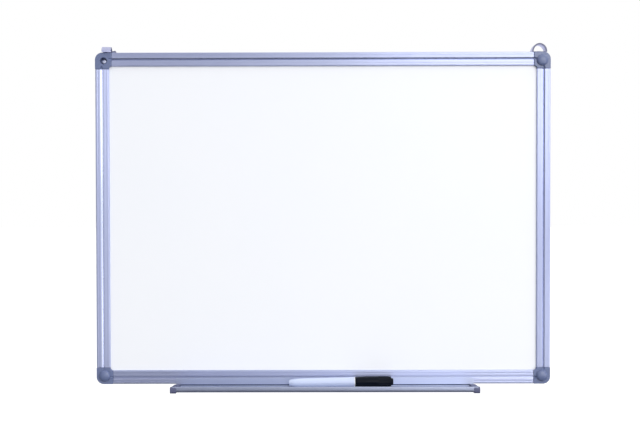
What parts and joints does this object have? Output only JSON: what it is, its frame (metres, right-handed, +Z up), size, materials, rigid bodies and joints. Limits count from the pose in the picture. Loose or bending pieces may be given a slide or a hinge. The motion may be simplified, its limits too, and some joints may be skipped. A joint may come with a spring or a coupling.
{
  "type": "whiteboard",
  "caption": "Wall whiteboard in an aluminium frame with moulded corners, swivel hanger loops, a slide-on pen tray and a capped marker.",
  "frame": {"origin": "on the back face of the top rail, half way along it, where the board bears on the wall", "axes": "+X to the reader's right, -Y out of the writing face towards the reader, +Y into the wall, +Z up"},
  "size_m": [0.6, 0.0579, 0.4542],
  "materials": {
    "enamel": "glossy white enamel on steel sheet",
    "fibreboard": "raw pressed fibre",
    "backing_steel": "matte galvanised",
    "anodised_rail": "satin silver anodised extrusion",
    "anodised_tray": "satin silver anodised extrusion",
    "corner_plastic": "satin blue-grey moulding",
    "key_plastic": "matte dark moulding",
    "zinc": "bright zinc plate",
    "loop_steel": "nickel-plated strip",
    "pad_plastic": "matte grey moulding",
    "tray_end_plastic": "satin dark grey-blue moulding",
    "barrel_plastic": "glossy pale moulding",
    "holder_plastic": "matte white moulding",
    "felt": "ink-soaked fibre tip",
    "fibre": "ink-soaked fibre",
    "cap_plastic": "semi-gloss black moulding"
  },
  "bodies": {
    "board": {"writing_sheet": "enamel", "core_board": "fibreboard", "backing_sheet": "backing_steel", "rail_top": "anodised_rail", "rail_bottom": "anodised_rail", "rail_left": "anodised_rail", "rail_right": "anodised_rail", "corner_cap_top_left": "corner_plastic", "corner_cap_top_right": "corner_plastic", "corner_cap_bottom_left": "corner_plastic", "corner_cap_bottom_right": "corner_plastic", "corner_key_top_left": "key_plastic", "corner_key_top_right": "key_plastic", "corner_key_bottom_left": "key_plastic", "corner_key_bottom_right": "key_plastic", "corner_screw_top_left": "zinc", "corner_screw_top_right": "zinc", "corner_screw_bottom_left": "zinc", "corner_screw_bottom_right": "zinc", "hanger_rivet_left": "zinc", "hanger_rivet_right": "zinc"},
    "plug_top_right": {"cover_plug_top_right": "corner_plastic"},
    "plug_bottom_left": {"cover_plug_bottom_left": "corner_plastic"},
    "plug_bottom_right": {"cover_plug_bottom_right": "corner_plastic"},
    "left_loop": {"hanger_loop_left": "loop_steel", "hanger_pad_left": "pad_plastic"},
    "right_loop": {"hanger_loop_right": "loop_steel", "hanger_pad_right": "pad_plastic"},
    "tray": {"pen_tray": "anodised_tray", "tray_end_left": "tray_end_plastic", "tray_end_right": "tray_end_plastic"},
    "marker": {"marker_barrel": "barrel_plastic", "marker_tail_plug": "barrel_plastic", "marker_nib_holder": "holder_plastic", "marker_nib": "felt", "marker_ink_reservoir": "fibre"},
    "marker_cover": {"marker_cap": "cap_plastic"}
  },
  "joints": [
    {"name": "left_loop_swivel", "type": "hinge", "parent": "board", "child": "left_loop", "pos_m": [-0.2858, -0.0128, 0.00735], "axis": [0, 0, 1], "continuous": true},
    {"name": "right_loop_swivel", "type": "hinge", "parent": "board", "child": "right_loop", "pos_m": [0.2858, -0.0128, 0.00735], "axis": [0, 0, 1], "continuous": true},
    {"name": "plug_top_right_pull", "type": "slide", "parent": "board", "child": "plug_top_right", "axis": [0, -1, 0], "range_m": [0, 0.012]},
    {"name": "plug_bottom_left_pull", "type": "slide", "parent": "board", "child": "plug_bottom_left", "axis": [0, -1, 0], "range_m": [0, 0.012]},
    {"name": "plug_bottom_right_pull", "type": "slide", "parent": "board", "child": "plug_bottom_right", "axis": [0, -1, 0], "range_m": [0, 0.012]},
    {"name": "tray_slide", "type": "slide", "parent": "board", "child": "tray", "axis": [1, 0, 0], "range_m": [-0.0815, 0.076]},
    {"name": "marker_lift", "type": "slide", "parent": "tray", "child": "marker", "axis": [0, 0, 1], "range_m": [0, 0.06]},
    {"name": "marker_cap_pull", "type": "slide", "parent": "marker", "child": "marker_cover", "axis": [0.9999, 0, 0.0132], "range_m": [0, 0.04]}
  ]
}
